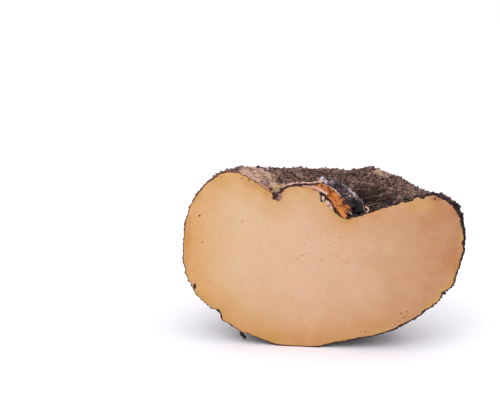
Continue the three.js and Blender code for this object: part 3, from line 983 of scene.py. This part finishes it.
# Dried roots: brittle shrivelled bark, paler on its ridges
rootBark = plainMaterial("dry root bark", "#5f4a45", [
    (6, 0.45, 0.6, 0.7, "#43312e"), (2.4, 0.5, 0.64, 0.6, "#85706a"), (0.9, 0.56, 0.66, 0.5, "#a8948a")],
    grains=[(1.4, 0.4), (0.6, 0.2)], Roughness=0.85)
# Finer root hairs, dry and paler
fibreBark = plainMaterial("dry root fibres", "#87685f", [
    (9, 0.45, 0.6, 0.8, "#4c312c"), (3, 0.52, 0.64, 0.7, "#b0907f")])


def makeRoot(node):
    bark = fineCopy(node, dryRoots["voxel"])
    full = [vert.co.copy() for vert in bark.verts]
    smoothed(bark, dryRoots["shrinkings"])
    bark.normal_update()
    stub = dryRoots["stubs"].get(node)
    for vert, wide in zip(bark.verts, full):
        shrunk = ease(-0.25, 0.45, noise.noise(wide / dryRoots["stretch"])) * dryRoots["shrivel"]
        wrinkle = layered(wide, dryRoots["wrinkles"])
        back = 0
        if stub:
            shrunk = 0
            caked, back = stub
            wrinkle = caked + 2 * wrinkle
        vert.co = wide.lerp(vert.co, shrunk) + vert.normal * wrinkle * mm
        spot, _, _, away = cormSurface.find_nearest(vert.co)
        vert.co = vert.co.lerp(spot, max(back, ease(*dryRoots["rooted"], away / mm)))
    finished(bark, "dry_" + node, "dried_root", [soil if stub else rootBark], [node])


def skinWalk(start, heading, length, radius):  # a fibre's path, which keeps to the skin as it wanders
    path = []
    place = start
    turn = 0.0
    for _ in range(int(length / fibres["step"])):
        spot, normal, _, _ = cormSurface.find_nearest(place)
        if inCorm(spot).y < cutMargin or spot.z < cutMargin * mm:
            break
        knot = spot + normal * radius * mm * chance.uniform(*fibres["lift"])
        path.append((knot, radius * mm * chance.uniform(*fibres["thickness"])))
        turn = 0.7 * turn + chance.gauss(0, fibres["curl"]) * 0.5  # bends build up and die away
        heading = Matrix.Rotation(turn, 3, normal) @ heading
        heading = (heading - normal * heading.dot(normal)).normalized()
        place = spot + heading * fibres["step"] * mm
    return path


def anywhere():  # a place in the box round the corm
    return Vector([chance.uniform(*ends) for ends in zip(cormLow, cormHigh)])


def makeFibres():
    paths = []
    while len(paths) < fibres["count"]:
        above = chance.random() < fibres["above"]
        start = anywhere()
        if above:
            start.z = cormHigh[2]
        else:
            start.y = cormHigh[1]
        heading = Vector([chance.gauss(0, 1) for _ in range(3)]).normalized()
        radius = chance.uniform(*fibres["radius"])
        path = skinWalk(start, heading, chance.uniform(*fibres["length"]), radius)
        if len(path) > fibres["fewest"]:
            paths.append(path)
    finished(sweep(paths, 0), "skinFibres", "dried_root", [fibreBark])


for node in dryRoots["nodes"]:
    makeRoot(node)
makeFibres()


# Crumbs and flakes on the skin

litter = {
    "crumbs": 620,
    "crumbSize": (0.35, 1.2),
    "crumbLong": (0.7, 1.4),  # as shares of it
    "crumbHigh": (0.6, 1.1),
    "flakes": 150,
    "flakeSize": (1, 2.4),
    "flakeSides": 9,
    "flakeLift": math.radians(14),
    "flakeThickness": 0.12 * mm,
    "anyTurn": (0, 6.3),
    "beyond": 0.02,  # how far outside the corm the places are looked for
}

# Cast flakes of skin: dry cork, grey-tan on their outer side
flakeBark = plainMaterial("cast cork flakes", "#6d5450", [
    (3, 0.48, 0.62, 0.7, "#937a73"), (1.4, 0.5, 0.62, 0.7, "#3c2826"), (8, 0.5, 0.6, 0.6, "#432f2d")])


def skinSpot():  # a place on the skin, and the way that it faces there
    while True:
        start = anywhere()
        side = chance.choice(["above", "behind", "behind", "end"])
        if side == "above":
            start.z = cormHigh[2] + litter["beyond"]
        elif side == "behind":
            start.y = cormHigh[1] + litter["beyond"]
        else:
            start.x = chance.choice((cormLow[0] - litter["beyond"], cormHigh[0] + litter["beyond"]))
        spot, normal, _, _ = cormSurface.find_nearest(start)
        if inCorm(spot).y > cutMargin and spot.z > 2 * mm:
            return spot, normal


def makeCrumbs():
    crumbs = bmesh.new()
    for _ in range(litter["crumbs"]):
        spot, _ = skinSpot()
        size = chance.uniform(*litter["crumbSize"]) * mm / 2
        place = Matrix.Translation(spot) @ Matrix.Rotation(chance.uniform(*litter["anyTurn"]), 4, "X")
        long = size * chance.uniform(*litter["crumbLong"])
        high = size * chance.uniform(*litter["crumbHigh"])
        shape = place @ Matrix.Diagonal((long, size, high, 1))
        bmesh.ops.create_icosphere(crumbs, subdivisions=1, radius=1, matrix=shape)
    finished(crumbs, "soilCrumbs", "corm", [soil])


def makeFlakes():
    flakes = bmesh.new()
    for _ in range(litter["flakes"]):
        spot, normal = skinSpot()
        size = chance.uniform(*litter["flakeSize"]) * mm / 2
        facing = normal.to_track_quat("Z", "Y").to_matrix().to_4x4()
        turn = Matrix.Rotation(chance.uniform(*litter["anyTurn"]), 4, "Z")
        turn = turn @ Matrix.Rotation(chance.uniform(0, litter["flakeLift"]), 4, "X")
        place = Matrix.Translation(spot + normal * 0.25 * mm) @ facing @ turn
        rim = bmesh.ops.create_circle(flakes, cap_ends=True, cap_tris=True, segments=litter["flakeSides"],
                                      radius=1, matrix=place @ Matrix.Diagonal((size, size * 0.7, size, 1)))
        for vert in rim["verts"]:
            vert.co += noise.noise_vector(vert.co / (0.8 * mm)) * size * 0.45
    bmesh.ops.solidify(flakes, geom=flakes.faces[:], thickness=litter["flakeThickness"])
    finished(flakes, "skinFlakes", "corm", [flakeBark])


makeCrumbs()
makeFlakes()


# Floor and light

studio = {
    "floor": 6,
    "floorColour": "#f5f2fa",
    "sky": 1.07,
    # lights: where, how wide and how strong
    "lights": {
        "keyLight": ((-0.25, -1, 1.25), 0.9, 6),
        "topLight": ((0.3, 0.3, 1.6), 1.2, 2),
        "sideLight": ((1.1, -0.2, 0.7), 0.8, 2),
    },
    "litAt": Vector((0, 0, 0.05)),
}


def setStudio():
    floor = bmesh.new()
    bmesh.ops.create_grid(floor, x_segments=1, y_segments=1, size=studio["floor"])
    paper, *_ = newMaterial("white paper", Base_Color=linear(studio["floorColour"]), Roughness=0.7)
    sheet = asObject(floor, "studioFloor", [paper])
    bpy.context.collection.objects.link(sheet)
    world = bpy.data.worlds.new("studio")
    world.use_nodes = True
    sky = world.node_tree.nodes["Background"]
    sky.inputs["Color"].default_value = (1, 1, 1, 1)
    sky.inputs["Strength"].default_value = studio["sky"]
    bpy.context.scene.world = world
    bpy.context.scene.view_settings.view_transform = "Standard"
    for name, (place, size, power) in studio["lights"].items():
        light = bpy.data.lights.new(name, "AREA")
        light.size = size
        light.energy = power
        lamp = bpy.data.objects.new(name, light)
        lamp.location = place
        lamp.rotation_euler = (Vector(place) - studio["litAt"]).to_track_quat("Z", "Y").to_euler()
        bpy.context.collection.objects.link(lamp)
    print("floor and lights placed")


setStudio()
